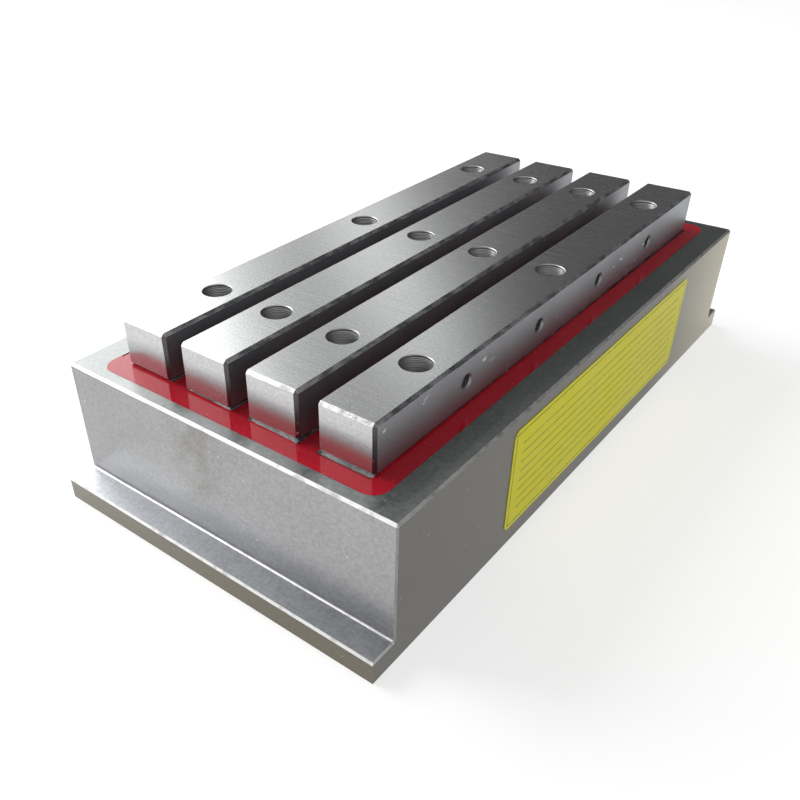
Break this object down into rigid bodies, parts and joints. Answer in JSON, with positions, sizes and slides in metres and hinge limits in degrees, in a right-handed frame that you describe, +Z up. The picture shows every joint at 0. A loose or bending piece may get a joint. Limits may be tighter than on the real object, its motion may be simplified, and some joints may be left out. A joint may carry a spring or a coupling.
{
  "type": "magnetic chuck",
  "caption": "Long rectangular magnetic workholding chuck: stepped steel body, raised pole bars over red potting resin, clamping ledges at both ends and a covered electrical inlet.",
  "frame": {"origin": "on the base, under the middle of the body", "axes": "+Z up from the base to the working face, +Y along the pole bars towards the rear ledge, +X towards the side with the label"},
  "size_m": [0.2205, 0.4, 0.1],
  "materials": {
    "ground_steel": "ground, satin",
    "milled_bar_steel": "milled across, satin",
    "potting_resin": "glossy cast epoxy",
    "cast_alnico": "cast, dull",
    "former_plastic": "moulded, matt",
    "winding_copper": "enamelled copper wire",
    "strap_copper": "bare copper",
    "magnet_nickel": "nickel plated",
    "black_oxide_steel": "black oxide, satin",
    "diecast_alloy": "die-cast, fine matt",
    "black_rubber": "matt",
    "insulator_plastic": "moulded, matt",
    "silvered_pins": "silver plated",
    "pin_steel": "drawn",
    "label_vinyl": "yellow film, semi-gloss"
  },
  "bodies": {
    "chuck": {"housing": "ground_steel", "resin_fill": "potting_resin", "pole_bar_1": "milled_bar_steel", "lower_pole_1": "ground_steel", "alnico_core_1": "cast_alnico", "coil_former_1": "former_plastic", "coil_1": "winding_copper", "pole_bar_2": "milled_bar_steel", "lower_pole_2": "ground_steel", "alnico_core_2": "cast_alnico", "coil_former_2": "former_plastic", "coil_2": "winding_copper", "pole_bar_3": "milled_bar_steel", "lower_pole_3": "ground_steel", "alnico_core_3": "cast_alnico", "coil_former_3": "former_plastic", "coil_3": "winding_copper", "pole_bar_4": "milled_bar_steel", "lower_pole_4": "ground_steel", "alnico_core_4": "cast_alnico", "coil_former_4": "former_plastic", "coil_4": "winding_copper", "side_magnets_1": "magnet_nickel", "side_magnets_2": "magnet_nickel", "side_magnets_3": "magnet_nickel", "side_magnets_4": "magnet_nickel", "side_magnets_5": "magnet_nickel", "bar_screws": "black_oxide_steel", "coil_links": "strap_copper", "supply_leads": "strap_copper", "inlet_shell": "diecast_alloy", "inlet_gasket": "black_rubber", "inlet_insert": "insulator_plastic", "inlet_pins": "silvered_pins", "cap_hinge_pin": "pin_steel", "side_label": "label_vinyl"},
    "cap": {"dust_cap": "diecast_alloy", "cap_seal": "black_rubber"}
  },
  "joints": [
    {"name": "cap_hinge", "type": "hinge", "parent": "chuck", "child": "cap", "pos_m": [-0.116, 0.13, 0.0481], "axis": [0, 1, 0], "range_deg": [0, 120]}
  ]
}
